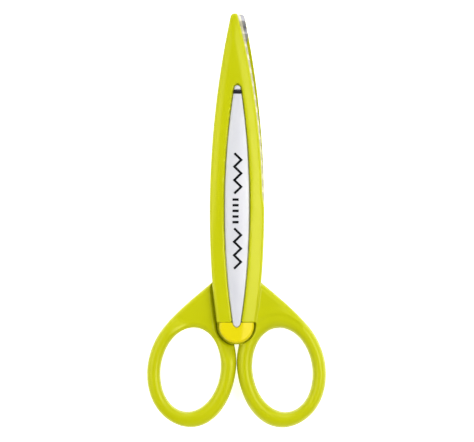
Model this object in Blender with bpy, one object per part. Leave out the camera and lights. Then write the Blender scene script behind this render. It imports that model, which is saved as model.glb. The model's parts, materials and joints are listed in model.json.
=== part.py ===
"""Decorative-edge scissors with a clip-in corrugated blade on each half.

The scissors lie flat and closed: tip towards +Y, front half on top (+Z). Every length below is in
millimetres and is turned into metres by MM. Shapes are drawn in a frame whose origin is the pivot,
with Z = 0 on the plane between the two blades. The rear half is the front half turned over about Y,
apart from its blade, which nests under the front one.
"""
import math

import bmesh
import bpy
from mathutils import Matrix, Vector

MM = 0.001

# Overall
TIP_Y = 127.4                # pivot to tip
RING_BOTTOM_Y = -41.9        # pivot to the lowest point of the rings
HALF_THICKNESS = 6.5         # mid-plane to the crest of a leaf
GAP = 0.3                    # clearance between separate pieces
OVERLAP = 0.5                # how far shapes joined into one piece run into each other

# Leaf: the long moulding that holds the blade. Its sides are arcs of one radius.
LEAF_HALF_WIDTH = 11.15
LEAF_WIDEST_Y = 47.0
LEAF_RADIUS = 385.0
LEAF_UNDERSIDE = 2.3
LEAF_EDGE_ROUNDING = 1.8
TIP_CAP_LENGTH = 2.2
CUTTING_SIDE_INSET = 2.8     # how far the moulding stops short of the leaf's side, at the tip
INSET_GROWTH = 1.2
INSET_START_Y = 46.0
TAPER_START_Y = 62.0         # the crest slopes down from here to the tip
TAPER_SLOPE = 0.022

# Window and the cartridge face that shows in it
FACE_HALF_WIDTH = 5.2
FACE_WIDEST_Y = 48.0
FACE_RADIUS = 308.0
FACE_TOP_Y = 97.9
FACE_TAIL_Y = -0.8
FACE_DROP = 0.5              # cartridge face below the crest
FACE_CAP_LENGTH = 1.5
FACE_TAIL_CAP = 1.2
FACE_ROUNDING = 0.5
WINDOW_CLEARANCE = 0.5
WINDOW_END_ROOM = 0.8
WINDOW_BOTTOM_Y = -3.0       # the window runs on under the button
CARRIER_UNDERSIDE = 2.7
NOSE_CLIP_Y = 95.3
NOSE_CLIP_SIZE = (3.9, 1.45, 1.1)
NOSE_CLIP_ROUNDING = 0.25
NOSE_CLIP_PROUD = 0.2        # how far the clip stands above the cartridge's face

# Corrugated blades: a zigzag in height against the distance from the pivot
WAVE_PITCH = 5.33
WAVE_HEIGHT = 3.0
WAVE_START_R = 31.2
WAVE_HALF_COUNT = 36
BLADE_THICKNESS = 0.55
BLADE_CLEARANCE = 0.2        # mid-surface to the inner face of either blade
BLADE_COLUMNS = 9
BLADE_EDGE_MARGIN = 0.15     # blade edge inside the leaf's full width, at its widest
BLADE_EDGE_SHARE = 0.55      # and the share of the moulding's inset added to that
BLADE_BACK_MARGIN = 1.6
BLADE_TIP_MARGIN = 0.3       # the blade's end, inside the tip
BLADE_BACK_OUT = (114.5, 118.5, 0.1)    # where the back comes out to the side, and its margin there
RIVET_RADIUS = 0.8
RIVET_WAVES = (0, 5, 10)     # which crests the rivets stand on
RIVET_TOP = 4.4
RIVET_RECESS = 0.05          # the rivet's end, behind the blade's inner face

# Hub and pivot
HUB_FACE = 0.15              # each hub stops this short of the mid-plane
HUB_FACE_ROOM = 0.2          # the other half's arm stays this much further away
HUB_FLOOR = 1.9
HUB_TUCK = 0.02              # the hub's side, inside the leaf's
BUSH_RADII = (1.7, 2.6)
BUSH_FIT = 0.2
RIVET_SHANK_RADIUS = 1.4
WASHER = (3.1, 0.3)          # outer radius, thickness
WASHER_FIT = 0.2
HEAD = (2.8, 0.8)            # radius, height
HEAD_RIM = 0.4               # share of the head's height that stands straight
HEAD_DOME = (0.8, 0.85)      # and the dome's shoulder, as shares of radius and height
STACK_GAP = 0.1
COUNTERBORE = (3.5, 3.7)     # radius, top

# Release button over the pivot
BUTTON_TOP_Y = 1.0
BUTTON_EDGE = 0.6            # button edge inside the hub's edge
BUTTON_ROUNDING = 0.4
POCKET_OVERCUT = 0.05        # the pocket runs out through the hub's side
BUTTON_UNDERSIDE = 4.4
BUTTON_CREST = 6.2
BUTTON_NOTCH = (2.1, -1.2)   # half-width and bottom of the notch for the cartridge's tail
SPRING_Y = -5.2              # the guide post and the coil round it
POST_RADIUS = 0.7
POST_BOTTOM = 1.5
SPRING_RADIUS = 1.15
SPRING_WIRE = 0.18
SPRING_TURNS = 4

# Finger ring: the hole's ellipse as (centre x, centre y, semi-minor, semi-major, tilt). The outside
# is the hole scaled up by a mean share and three swells, each a size and the angle of its peak.
RING_HOLE = (18.8, -18.35, 12.17, 17.28, 8.4)
RING_SCALE = 1.453
RING_SWELLS = ((0.069, 130.0), (0.030, -4.0), (0.0255, -13.5))
RING_HALF_DEPTH = 4.2
RING_SIDES = 36
RING_SECTION = 12
RING_SQUARENESS = 0.8

# Arm from the leaf to the ring
ARM_START = (9.0, 18.4)
ARM_HANDLES = ((14.8, 13.4), (22.0, 7.9))
ARM_MEETS_RING_DEG = 48.0    # where the arm's edge runs into the ring's outside
ARM_TUCK = 0.02              # and how far inside it ends, in the ring's scale
ARM_TUBE_DEG = (30.0, 136.0)    # the stretch of the ring that the arm fills inside its tube
ARM_HUB_CORNERS = ((4.6, 0.0), (5.5, 8.0), (6.5, 16.0))
ARM_UNDERSIDE = -4.0
ARM_TOP = 4.4
ARM_ROUNDING = 2.0

# Room for the other half as the scissors open
OPENING_LIMIT_DEG = 55.0
SHOULDER_CLEARANCE = 0.6
HUB_ROOM = 0.4               # this half's arm to the other half's hub
WEB_UNDERSIDE = -1.9         # the web over the other leaf's path; the other blade starts past it
STOP_ANGLE_DEG = 61.5        # the webs' facing ends, which leave a gap at full opening
STOP_TOP = 2.4               # the web's underside past its end
SHOULDER_RAMP = 3.0
FAR = 70.0                   # cutters reach past the part

LIME = (0.58, 0.64, 0.004)
YELLOW = (0.88, 0.78, 0.01)
SILVER = (0.78, 0.78, 0.82)
STEEL = (0.62, 0.62, 0.64)
BLACK = (0.01, 0.01, 0.014)


# ---------------------------------------------------------------- helpers

def clear_scene():
    for leftover in list(bpy.data.objects):
        bpy.data.objects.remove(leftover, do_unlink=True)


def make_material(name, colour, roughness, metallic):
    material = bpy.data.materials.new(name)
    material.use_nodes = True
    shader = material.node_tree.nodes["Principled BSDF"]
    shader.inputs["Base Color"].default_value = (*colour, 1.0)
    shader.inputs["Roughness"].default_value = roughness
    shader.inputs["Metallic"].default_value = metallic
    return material


def mesh_from(name, bm):
    """Closes a bmesh off as a mesh in metres with its faces pointing out."""
    bmesh.ops.recalc_face_normals(bm, faces=bm.faces)
    bmesh.ops.scale(bm, vec=(MM, MM, MM), verts=bm.verts)
    mesh = bpy.data.meshes.new(name)
    bm.to_mesh(mesh)
    bm.free()
    mesh.shade_smooth()
    mesh.set_sharp_from_angle(angle=math.radians(35))
    return mesh


def place(name, mesh, half, colour, roughness=0.3, metallic=0.0):
    node = bpy.data.objects.new(name, mesh)
    bpy.context.scene.collection.objects.link(node)
    node.data.materials.clear()
    node.data.materials.append(make_material(name, colour, roughness, metallic))
    node.parent = half
    return node


def carve(mesh, steps):
    """Applies (operation, mesh) Boolean steps to a mesh and returns the resulting mesh."""
    collection = bpy.context.scene.collection
    base = bpy.data.objects.new("work", mesh)
    collection.objects.link(base)
    tools = []
    for operation, tool_mesh in steps:
        tool = bpy.data.objects.new("tool", tool_mesh)
        collection.objects.link(tool)
        tools.append(tool)
        boolean = base.modifiers.new("cut", "BOOLEAN")
        boolean.operation = operation
        boolean.solver = "EXACT"
        boolean.object = tool
    depsgraph = bpy.context.evaluated_depsgraph_get()
    result = bpy.data.meshes.new_from_object(base.evaluated_get(depsgraph))
    for tool in tools + [base]:
        bpy.data.objects.remove(tool, do_unlink=True)
    result.shade_smooth()
    result.set_sharp_from_angle(angle=math.radians(35))
    return result


def prism(outline, low, high):
    """A straight block over an outline. Returns the bmesh and its top and bottom rim edges."""
    bm = bmesh.new()
    floor = bm.faces.new([bm.verts.new((x, y, low)) for x, y in outline])
    raised = bmesh.ops.extrude_face_region(bm, geom=[floor])["geom"]
    top_verts = [item for item in raised if isinstance(item, bmesh.types.BMVert)]
    bmesh.ops.translate(bm, verts=top_verts, vec=(0, 0, high - low))
    top = [e for e in bm.edges if all(abs(v.co.z - high) < 1e-4 for v in e.verts)]
    bottom = [e for e in bm.edges if all(abs(v.co.z - low) < 1e-4 for v in e.verts)]
    return bm, top, bottom


def soften(bm, edges, width, segments=2):
    bmesh.ops.bevel(bm, geom=edges, offset=width, segments=segments, profile=0.5,
                    affect="EDGES", clamp_overlap=True)


def block(name, outline, low, high):
    return mesh_from(name, prism(outline, low, high)[0])


def cylinder(name, radius, low, high, centre=(0.0, 0.0), sides=32):
    bm = bmesh.new()
    middle = Matrix.Translation((centre[0], centre[1], (low + high) / 2))
    bmesh.ops.create_cone(bm, cap_ends=True, segments=sides, radius1=radius, radius2=radius,
                          depth=high - low, matrix=middle)
    return mesh_from(name, bm)


def turned(name, profile, sides=32):
    """Spins a closed (radius, z) profile about the pivot axis."""
    bm = bmesh.new()
    verts = [bm.verts.new((radius, 0.0, z)) for radius, z in profile]
    edges = [bm.edges.new((verts[i - 1], verts[i])) for i in range(len(verts))]
    bmesh.ops.spin(bm, geom=verts + edges, cent=(0, 0, 0), axis=(0, 0, 1), angle=math.tau,
                   steps=sides, use_merge=True)
    bmesh.ops.remove_doubles(bm, verts=bm.verts, dist=1e-3)
    return mesh_from(name, bm)


def spread(start, end, count):
    return [start + (end - start) * i / (count - 1) for i in range(count)]


# ---------------------------------------------------------------- outlines

def arc_half_width(y, widest, widest_y, radius):
    return widest - radius + math.sqrt(radius ** 2 - (y - widest_y) ** 2)


def tip_rounding(y):
    past = (y - (TIP_Y - TIP_CAP_LENGTH)) / TIP_CAP_LENGTH
    return math.sqrt(max(0.0, 1.0 - past ** 2)) if past > 0 else 1.0


def spine_x(y):
    """Distance from the centre line to the leaf's outer side."""
    return arc_half_width(y, LEAF_HALF_WIDTH, LEAF_WIDEST_Y, LEAF_RADIUS) * tip_rounding(y)


def inset(y):
    along = max(0.0, (y - INSET_START_Y) / (TIP_Y - INSET_START_Y))
    return CUTTING_SIDE_INSET * along ** INSET_GROWTH * tip_rounding(y)


def cutting_x(y):
    """Distance from the centre line to the moulding's edge on the cutting side."""
    return spine_x(y) - inset(y)


def blade_edge_x(y):
    return spine_x(y) - BLADE_EDGE_MARGIN - BLADE_EDGE_SHARE * inset(y)


def blade_back_x(y):
    """The blade's back runs inside the moulding and comes out to its side at the tip."""
    start, end, margin = BLADE_BACK_OUT
    out = min(1.0, max(0.0, (y - start) / (end - start)))
    return spine_x(y) - BLADE_BACK_MARGIN + (BLADE_BACK_MARGIN - margin) * out


def hub_radius():
    return spine_x(0.0)


def leaf_outline():
    """Anticlockwise from the hub's right side: cutting side, tip, spine, hub."""
    cap_start = TIP_Y - TIP_CAP_LENGTH
    body = spread(0.0, cap_start, 22)
    cap = [cap_start + TIP_CAP_LENGTH * math.sin(math.radians(a)) for a in (22, 44, 66, 80)]
    right = [(cutting_x(y), y) for y in body + cap]
    left = [(-spine_x(y), y) for y in reversed(body + cap)]
    hub = [(hub_radius() * math.cos(a), hub_radius() * math.sin(a))
           for a in spread(math.pi, math.tau, 17)[1:-1]]
    return right + [(0.0, TIP_Y)] + left + hub


def lens_outline(grow, top_y, bottom_y, cap, bottom_cap):
    """The window shape: two arcs with rounded ends, grown sideways by a margin."""
    def half(y):
        width = arc_half_width(y, FACE_HALF_WIDTH, FACE_WIDEST_Y, FACE_RADIUS) + grow
        for past in ((y - top_y + cap) / cap, (bottom_y + bottom_cap - y) / bottom_cap):
            width *= math.sqrt(max(0.0, 1.0 - max(0.0, past) ** 2))
        return width
    turns = [math.radians(a) for a in (90, 65, 40, 20)]
    low = [bottom_y + bottom_cap - bottom_cap * math.sin(a) for a in turns]
    high = [top_y - cap + cap * math.sin(a) for a in reversed(turns)]
    stations = low + spread(bottom_y + bottom_cap, top_y - cap, 15) + high
    right = [(half(y), y) for y in stations[1:-1]]
    left = [(-x, y) for x, y in reversed(right)]
    return [(0.0, bottom_y)] + right + [(0.0, top_y)] + left


def ring_scale(turn):
    """How much larger the ring's outside is than its hole, at an angle round it."""
    swells = enumerate(RING_SWELLS, start=1)
    return RING_SCALE + sum(size * math.cos(waves * (turn - math.radians(peak)))
                            for waves, (size, peak) in swells)


def ring_point(turn, scale):
    """Point of the hole's ellipse, whose long axis leans towards the centre line, scaled up."""
    cx, cy, minor, major, tilt = RING_HOLE
    x, y = scale * minor * math.cos(turn), scale * major * math.sin(turn)
    lean = math.radians(tilt)
    return Vector((cx + x * math.cos(lean) - y * math.sin(lean),
                   cy + x * math.sin(lean) + y * math.cos(lean)))


def bezier(start, handles, end, count):
    points = [Vector(p) for p in (start, *handles, end)]
    curve = []
    for t in spread(0.0, 1.0, count):
        weights = ((1 - t) ** 3, 3 * t * (1 - t) ** 2, 3 * t * t * (1 - t), t ** 3)
        curve.append(sum((w * p for w, p in zip(weights, points)), Vector((0, 0))))
    return curve


def arm_outline():
    """From the leaf out along the arm's edge, back through the ring's tube, and over the hub."""
    meeting = math.radians(ARM_MEETS_RING_DEG)
    outer = bezier(ARM_START, ARM_HANDLES, ring_point(meeting, ring_scale(meeting) - ARM_TUCK), 14)
    tube = [ring_point(turn, (1 + ring_scale(turn)) / 2)
            for turn in spread(*(math.radians(end) for end in ARM_TUBE_DEG), 13)]
    hub = [Vector(corner) for corner in ARM_HUB_CORNERS]
    return list(reversed([tuple(p) for p in outer + tube + hub]))


def swept_edge():
    """The side of the other half's leaf at full opening, seen from this half."""
    turn = Matrix.Rotation(-math.radians(OPENING_LIMIT_DEG), 2)
    return [turn @ Vector((spine_x(y) + SHOULDER_CLEARANCE, y)) for y in spread(0.0, 64.0, 14)]


def leaf_path_outline():
    return [(0.0, 0.0)] + [tuple(p) for p in swept_edge()] + [(FAR, FAR), (-FAR, FAR), (-FAR, 0.0)]


def stop_outline():
    """Past the face where this half's web would meet the other half's web."""
    stop = math.radians(STOP_ANGLE_DEG)
    return [(0.0, 0.0), (FAR * math.cos(stop), FAR * math.sin(stop)), (-FAR, FAR), (-FAR, 0.0)]


# ---------------------------------------------------------------- handle

def crest(y):
    return HALF_THICKNESS - TAPER_SLOPE * max(0.0, y - TAPER_START_Y)


def taper(bm, underside):
    """Slopes everything above the underside down towards the tip."""
    geometry = bm.verts[:] + bm.edges[:] + bm.faces[:]
    bmesh.ops.bisect_plane(bm, geom=geometry, plane_co=(0, TAPER_START_Y, 0), plane_no=(0, 1, 0))
    for vert in bm.verts:
        lift = (vert.co.z - underside) / (HALF_THICKNESS - underside)
        vert.co.z -= (HALF_THICKNESS - crest(vert.co.y)) * lift


def leaf_mesh():
    bm, top, _ = prism(leaf_outline(), LEAF_UNDERSIDE, HALF_THICKNESS)
    soften(bm, top, LEAF_EDGE_ROUNDING, segments=3)
    taper(bm, LEAF_UNDERSIDE)
    return mesh_from("leaf", bm)


def ring_mesh():
    """A rounded section carried round between the ring's hole and its outside."""
    bm = bmesh.new()
    loops = []
    for turn in spread(0.0, math.tau, RING_SIDES + 1)[:-1]:
        inner = ring_point(turn, 1.0)
        outer = ring_point(turn, ring_scale(turn))
        loop = []
        for angle in spread(0.0, math.tau, RING_SECTION + 1)[:-1]:
            across = math.copysign(abs(math.cos(angle)) ** RING_SQUARENESS, math.cos(angle))
            up = math.copysign(abs(math.sin(angle)) ** RING_SQUARENESS, math.sin(angle))
            spot = inner.lerp(outer, (1 + across) / 2)
            loop.append(bm.verts.new((spot.x, spot.y, up * RING_HALF_DEPTH)))
        loops.append(loop)
    for here, following in zip(loops, loops[1:] + loops[:1]):
        for i in range(RING_SECTION):
            bm.faces.new((here[i - 1], here[i], following[i], following[i - 1]))
    return mesh_from("ring", bm)


def leaf_path_mesh():
    """The other leaf's path below this web. Its side slopes, so that the web ramps into the ring."""
    bm = prism(leaf_path_outline(), ARM_UNDERSIDE - 1.0, WEB_UNDERSIDE)[0]
    away = Matrix.Rotation(-math.radians(OPENING_LIMIT_DEG), 3, "Z") @ Vector((SHOULDER_RAMP, 0, 0))
    for vert in bm.verts:
        if vert.co.z < WEB_UNDERSIDE - 1.0 and vert.co.x > -1.0:
            vert.co += away
    return mesh_from("leaf_path", bm)


def arm_mesh():
    bm, top, bottom = prism(arm_outline(), ARM_UNDERSIDE, ARM_TOP)
    soften(bm, top + bottom, ARM_ROUNDING, segments=3)
    return mesh_from("arm", bm)


def half_disc(name, radius, top_y, low, high):
    """The lower part of a disc about the pivot, up to a straight edge."""
    corner = math.asin(top_y / radius)
    rim = [(radius * math.cos(a), radius * math.sin(a))
           for a in spread(math.pi - corner, math.tau + corner, 24)]
    return block(name, rim, low, high)


def handle_mesh():
    """Leaf, hub, arm and ring in one moulding, cut for the window, the button and the pivot."""
    radius = hub_radius()
    window = lens_outline(WINDOW_CLEARANCE, FACE_TOP_Y + WINDOW_END_ROOM, WINDOW_BOTTOM_Y,
                          FACE_CAP_LENGTH, FACE_TAIL_CAP)
    limb = carve(arm_mesh(), [
        ("UNION", ring_mesh()),
        ("DIFFERENCE", leaf_path_mesh()),
        ("DIFFERENCE", block("stop", stop_outline(), -FAR, STOP_TOP)),
        ("DIFFERENCE", cylinder("other_hub", radius + HUB_ROOM, -FAR, HUB_FACE + HUB_FACE_ROOM)),
    ])
    return carve(leaf_mesh(), [
        ("UNION", cylinder("hub", radius - HUB_TUCK, HUB_FACE, LEAF_UNDERSIDE + OVERLAP, sides=48)),
        ("UNION", limb),
        ("DIFFERENCE", block("window", window, HUB_FLOOR, FAR)),
        ("DIFFERENCE", half_disc("button_pocket", radius + POCKET_OVERCUT, BUTTON_TOP_Y + GAP,
                                 HUB_FLOOR, FAR)),
        ("DIFFERENCE", cylinder("counterbore", COUNTERBORE[0], HUB_FLOOR, COUNTERBORE[1])),
        ("DIFFERENCE", cylinder("bore", BUSH_RADII[1] + BUSH_FIT, -FAR, FAR)),
        ("DIFFERENCE", cylinder("guide", POST_RADIUS + GAP, -FAR, FAR, (0.0, SPRING_Y), 16)),
    ])


# ---------------------------------------------------------------- blade cartridge

def wave_height(row):
    """The mid-surface of the zigzag: trough on even rows, crest on odd ones."""
    return WAVE_HEIGHT / 2 if row % 2 else -WAVE_HEIGHT / 2


def wave_radius(row):
    return WAVE_START_R + row * WAVE_PITCH / 2


def blade_mesh(side, low, high):
    """A corrugated sheet. Each row lies at one distance from the pivot, so the blades nest at
    every angle of opening. side is +1 for the front blade and -1 for the rear one."""
    bm = bmesh.new()
    sheets = []
    for offset in (low, high):
        rows = []
        for row in range(WAVE_HALF_COUNT + 1):
            radius = wave_radius(row)
            ends = []
            for edge, sign in ((blade_back_x, -1), (blade_edge_x, 1)):
                y = radius
                for _ in range(3):
                    y = math.sqrt(radius ** 2 - edge(min(y, TIP_Y - BLADE_TIP_MARGIN)) ** 2)
                ends.append(sign * edge(min(y, TIP_Y - BLADE_TIP_MARGIN)))
            row_verts = []
            for x in spread(*ends, BLADE_COLUMNS):
                y = math.sqrt(radius ** 2 - x ** 2)
                row_verts.append(bm.verts.new((side * x, y, wave_height(row) + offset)))
            rows.append(row_verts)
        sheets.append(rows)
    for rows in sheets:
        for here, following in zip(rows, rows[1:]):
            for i in range(BLADE_COLUMNS - 1):
                bm.faces.new((here[i], here[i + 1], following[i + 1], following[i]))
    floor, roof = (outline_of(rows) for rows in sheets)
    for i in range(len(floor)):
        bm.faces.new((floor[i - 1], floor[i], roof[i], roof[i - 1]))
    return mesh_from("blade", bm)


def outline_of(rows):
    right = [row[-1] for row in rows]
    left = [row[0] for row in rows]
    return rows[0][:-1] + right + list(reversed(rows[-1][1:-1])) + list(reversed(left[1:]))


def rivet_spots(side):
    """Front rivets stand on crests and rear rivets on troughs, where the blades are closest."""
    return [wave_radius(2 * wave + (1 if side > 0 else 2)) for wave in RIVET_WAVES]


def bored_blade(side, low, high):
    holes = [("DIFFERENCE", cylinder("hole", RIVET_RADIUS + GAP, -FAR, FAR, (0.0, y), 16))
             for y in rivet_spots(side)]
    return carve(blade_mesh(side, low, high), holes)


def band(low_y, high_y):
    """An outline that reaches past both sides of the leaf."""
    return [(-FAR, low_y), (FAR, low_y), (FAR, high_y), (-FAR, high_y)]


def carrier_mesh(side):
    """The cartridge body whose domed face shows in the window."""
    outline = lens_outline(0.0, FACE_TOP_Y, FACE_TAIL_Y, FACE_CAP_LENGTH, FACE_TAIL_CAP)
    bm, top, _ = prism(outline, CARRIER_UNDERSIDE, HALF_THICKNESS - FACE_DROP)
    soften(bm, top, FACE_ROUNDING)
    taper(bm, CARRIER_UNDERSIDE)
    tray = NOSE_CLIP_SIZE[1] / 2 + GAP
    head_room = band(-FAR, COUNTERBORE[0] + GAP)
    clip_room = band(NOSE_CLIP_Y - tray, NOSE_CLIP_Y + tray)
    steps = [("DIFFERENCE", block("head_room", head_room, -FAR, COUNTERBORE[1])),
             ("DIFFERENCE", block("clip_room", clip_room, nose_clip_underside() - GAP, FAR))]
    for y in rivet_spots(side):
        hole = cylinder("hole", RIVET_RADIUS + GAP, -FAR, RIVET_TOP + GAP, (0.0, y), 16)
        steps.append(("DIFFERENCE", hole))
    return carve(mesh_from("carrier", bm), steps)


def nose_clip_underside():
    return crest(NOSE_CLIP_Y) - FACE_DROP - NOSE_CLIP_SIZE[2] + NOSE_CLIP_PROUD


def nose_clip_mesh():
    width, length, height = NOSE_CLIP_SIZE
    bm = bmesh.new()
    low = nose_clip_underside()
    matrix = Matrix.Translation((0.0, NOSE_CLIP_Y, low + height / 2))
    bmesh.ops.create_cube(bm, size=1.0, matrix=matrix @ Matrix.Diagonal((width, length, height, 1.0)))
    soften(bm, bm.edges[:], NOSE_CLIP_ROUNDING)
    return mesh_from("nose_clip", bm)


def blade_rivet_mesh(y):
    """A pin flush with the inside of its crest, up into the carrier."""
    bm = bmesh.new()
    low = WAVE_HEIGHT / 2 + BLADE_CLEARANCE + RIVET_RECESS
    matrix = Matrix.Translation((0.0, y, (low + RIVET_TOP) / 2))
    bmesh.ops.create_cone(bm, cap_ends=True, segments=16, radius1=RIVET_RADIUS,
                          radius2=RIVET_RADIUS, depth=RIVET_TOP - low, matrix=matrix)
    return mesh_from("blade_rivet", bm)


# ---------------------------------------------------------------- pivot and release button

def washer_mesh():
    low = HUB_FLOOR + STACK_GAP
    inner, outer = RIVET_SHANK_RADIUS + WASHER_FIT, WASHER[0]
    return turned("washer", [(inner, low), (outer, low), (outer, low + WASHER[1]),
                             (inner, low + WASHER[1])])


def pivot_rivet_mesh():
    """One shank with a domed head at each end."""
    shank, head, height = RIVET_SHANK_RADIUS, HEAD[0], HEAD[1]
    low = HUB_FLOOR + 2 * STACK_GAP + WASHER[1]
    upper = [(shank, low), (head, low), (head, low + HEAD_RIM * height),
             (HEAD_DOME[0] * head, low + HEAD_DOME[1] * height), (0.0, low + height)]
    lower = [(radius, -z) for radius, z in reversed(upper)]
    return turned("pivot_rivet", lower + upper)


def bush_mesh():
    inner, outer = BUSH_RADII
    return turned("pivot_bush", [(inner, -HUB_FLOOR), (outer, -HUB_FLOOR), (outer, HUB_FLOOR),
                                 (inner, HUB_FLOOR)])


def button_outline():
    radius = hub_radius() - BUTTON_EDGE
    corner = math.asin(BUTTON_TOP_Y / radius)
    bowl = [(radius * math.cos(a), radius * math.sin(a))
            for a in spread(math.pi - corner, math.tau + corner, 22)]
    half, bottom = BUTTON_NOTCH
    notch = [(half * math.cos(a), bottom + half + half * math.sin(a))
             for a in spread(0.0, -math.pi, 9)]
    return bowl + [(half, BUTTON_TOP_Y)] + notch[1:-1] + [(-half, BUTTON_TOP_Y)]


def button_mesh():
    """A half-round cap on a guide post that slides in the hub."""
    bm, top, _ = prism(button_outline(), BUTTON_UNDERSIDE, BUTTON_CREST)
    soften(bm, top, BUTTON_ROUNDING)
    post = cylinder("post", POST_RADIUS, POST_BOTTOM, BUTTON_UNDERSIDE + OVERLAP, (0.0, SPRING_Y), 16)
    return carve(mesh_from("button", bm), [("UNION", post)])


def spring_mesh():
    """A small coil: a round wire carried along a helix."""
    low = HUB_FLOOR + STACK_GAP + SPRING_WIRE
    high = BUTTON_UNDERSIDE - STACK_GAP - SPRING_WIRE
    bm = bmesh.new()
    steps = 14 * SPRING_TURNS
    loops = []
    for step in range(steps + 1):
        turn = math.tau * SPRING_TURNS * step / steps
        height = low + (high - low) * step / steps
        loop = []
        for angle in spread(0.0, math.tau, 7)[:-1]:
            reach = SPRING_RADIUS + SPRING_WIRE * math.cos(angle)
            loop.append(bm.verts.new((reach * math.cos(turn), SPRING_Y + reach * math.sin(turn),
                                      height + SPRING_WIRE * math.sin(angle))))
        loops.append(loop)
    for here, following in zip(loops, loops[1:]):
        for i in range(6):
            bm.faces.new((here[i - 1], here[i], following[i], following[i - 1]))
    bm.faces.new(loops[0])
    bm.faces.new(list(reversed(loops[-1])))
    return mesh_from("spring", bm)


# ---------------------------------------------------------------- assembly

def make_half(name, half, side, handle):
    """Everything that is drawn for the front and turned over for the rear."""
    place(f"{name}_handle", handle, half, LIME)
    place(f"{name}_blade_carrier", carrier_mesh(side), half, SILVER, 0.35, 0.3)
    place(f"{name}_nose_clip", nose_clip_mesh(), half, BLACK)
    place(f"{name}_release_button", button_mesh(), half, YELLOW)
    place(f"{name}_button_spring", spring_mesh(), half, STEEL, 0.3, 1.0)
    place(f"{name}_pivot_washer", washer_mesh(), half, STEEL, 0.3, 1.0)
    for number, y in enumerate(rivet_spots(side), start=1):
        place(f"{name}_blade_rivet_{number}", blade_rivet_mesh(y), half, STEEL, 0.3, 1.0)


def make_empty(name, location, turn=0.0):
    empty = bpy.data.objects.new(name, None)
    bpy.context.scene.collection.objects.link(empty)
    empty.location = location
    empty.rotation_euler = (0.0, turn, 0.0)
    return empty


def main():
    clear_scene()
    middle = (TIP_Y + RING_BOTTOM_Y) / 2
    pivot = Vector((0.0, -middle, HALF_THICKNESS)) * MM
    front_half = make_empty("front_half", pivot)
    rear_half = make_empty("rear_half", pivot, math.pi)
    upright = make_empty("pivot_axis", pivot)
    handle = handle_mesh()
    make_half("front", front_half, 1, handle)
    make_half("rear", rear_half, -1, handle.copy())
    near, far = BLADE_CLEARANCE, BLADE_CLEARANCE + BLADE_THICKNESS
    place("front_blade", bored_blade(1, near, far), upright, STEEL, 0.25, 1.0)
    place("rear_blade", bored_blade(-1, -far, -near), upright, STEEL, 0.25, 1.0)
    place("pivot_rivet", pivot_rivet_mesh(), upright, STEEL, 0.3, 1.0)
    place("pivot_bush", bush_mesh(), upright, STEEL, 0.3, 1.0)


main()
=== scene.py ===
"""Looks for the decorative edge scissors: moulded lime halves, silver cartridges, corrugated blades.

Shapes are worked out in millimetres in the pivot's frame: the tip is towards +Y, the front half on
top. The rear half is the front half turned over about Y, apart from its blade, which nests under
the front one. Moulded pieces are solids given by a field, negative inside, that is meshed by dual
contouring, so edges stay crisp and fillets stay smooth.
"""
import json
import math

import bmesh
import bpy
import numpy as np
from mathutils import Matrix, Vector


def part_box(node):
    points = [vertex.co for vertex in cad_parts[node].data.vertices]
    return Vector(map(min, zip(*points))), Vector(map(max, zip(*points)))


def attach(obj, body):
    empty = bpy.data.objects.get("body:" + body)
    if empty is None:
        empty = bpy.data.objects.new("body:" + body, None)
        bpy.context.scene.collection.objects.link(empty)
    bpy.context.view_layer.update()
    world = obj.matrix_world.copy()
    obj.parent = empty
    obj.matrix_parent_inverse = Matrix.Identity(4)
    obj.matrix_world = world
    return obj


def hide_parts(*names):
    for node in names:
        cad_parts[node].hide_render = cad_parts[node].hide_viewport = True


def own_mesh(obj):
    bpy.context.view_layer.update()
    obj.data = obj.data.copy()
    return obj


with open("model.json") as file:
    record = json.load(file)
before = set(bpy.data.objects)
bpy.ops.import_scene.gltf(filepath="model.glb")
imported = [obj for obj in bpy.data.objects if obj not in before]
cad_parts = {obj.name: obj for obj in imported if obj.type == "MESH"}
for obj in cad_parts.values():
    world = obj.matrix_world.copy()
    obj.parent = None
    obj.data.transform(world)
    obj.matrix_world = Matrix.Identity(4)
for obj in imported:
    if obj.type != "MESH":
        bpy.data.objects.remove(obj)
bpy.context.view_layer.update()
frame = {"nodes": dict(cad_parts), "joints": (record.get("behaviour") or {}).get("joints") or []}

MM = 0.001
PIVOT = Vector(next(j["pos_m"] for j in frame["joints"] if j["name"] == "scissor_pivot"))
HALF_DEPTH = PIVOT.z / MM                       # mid-plane to the crest
TIP_Y = (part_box("front_handle")[1].y - PIVOT.y) / MM
STEP = 0.4               # spacing of the contouring grid

# Leaf
LEAF_HALF_WIDTH, LEAF_WIDEST_Y, LEAF_RADIUS = 11.15, 47.0, 385.0
HUB_NARROWING, HUB_NARROWING_Y = 0.42, 22.0     # the leaf draws in a little below this y
LEAF_UNDERSIDE, UNDERSIDE_ROUNDING = 2.3, 0.4
EDGE_ROUNDING, TIP_ROUNDING = 1.2, 1.3
INSET_AT_TIP, INSET_GROWTH = 2.8, 2.0           # the moulding stops short of the leaf's cutting side
INSET_STEP, INSET_START_Y, INSET_STEP_LENGTH = 0.75, 47.0, 8.0
TAPER_START_Y, TAPER_SLOPE, TAPER_EASE = 62.0, 0.022, 12.0
SIDE_SLOPE, SLOPE_EASE = 0.3, 0.8               # the leaf's top slopes down towards its sides
SPINE_BAND, CUTTING_BAND = 2.7, 3.7             # over these widths, one for each side
BAND_WIDENING, WIDENING_Y = 1.4, (62.0, 40.0)   # the cutting side's band widens towards the hub
SPINE_SLOPE_Y = 15.0, 65.0                      # the spine side's slope grows over this stretch
LEAF_TO_ARM_FILLET = 0.6

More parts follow.
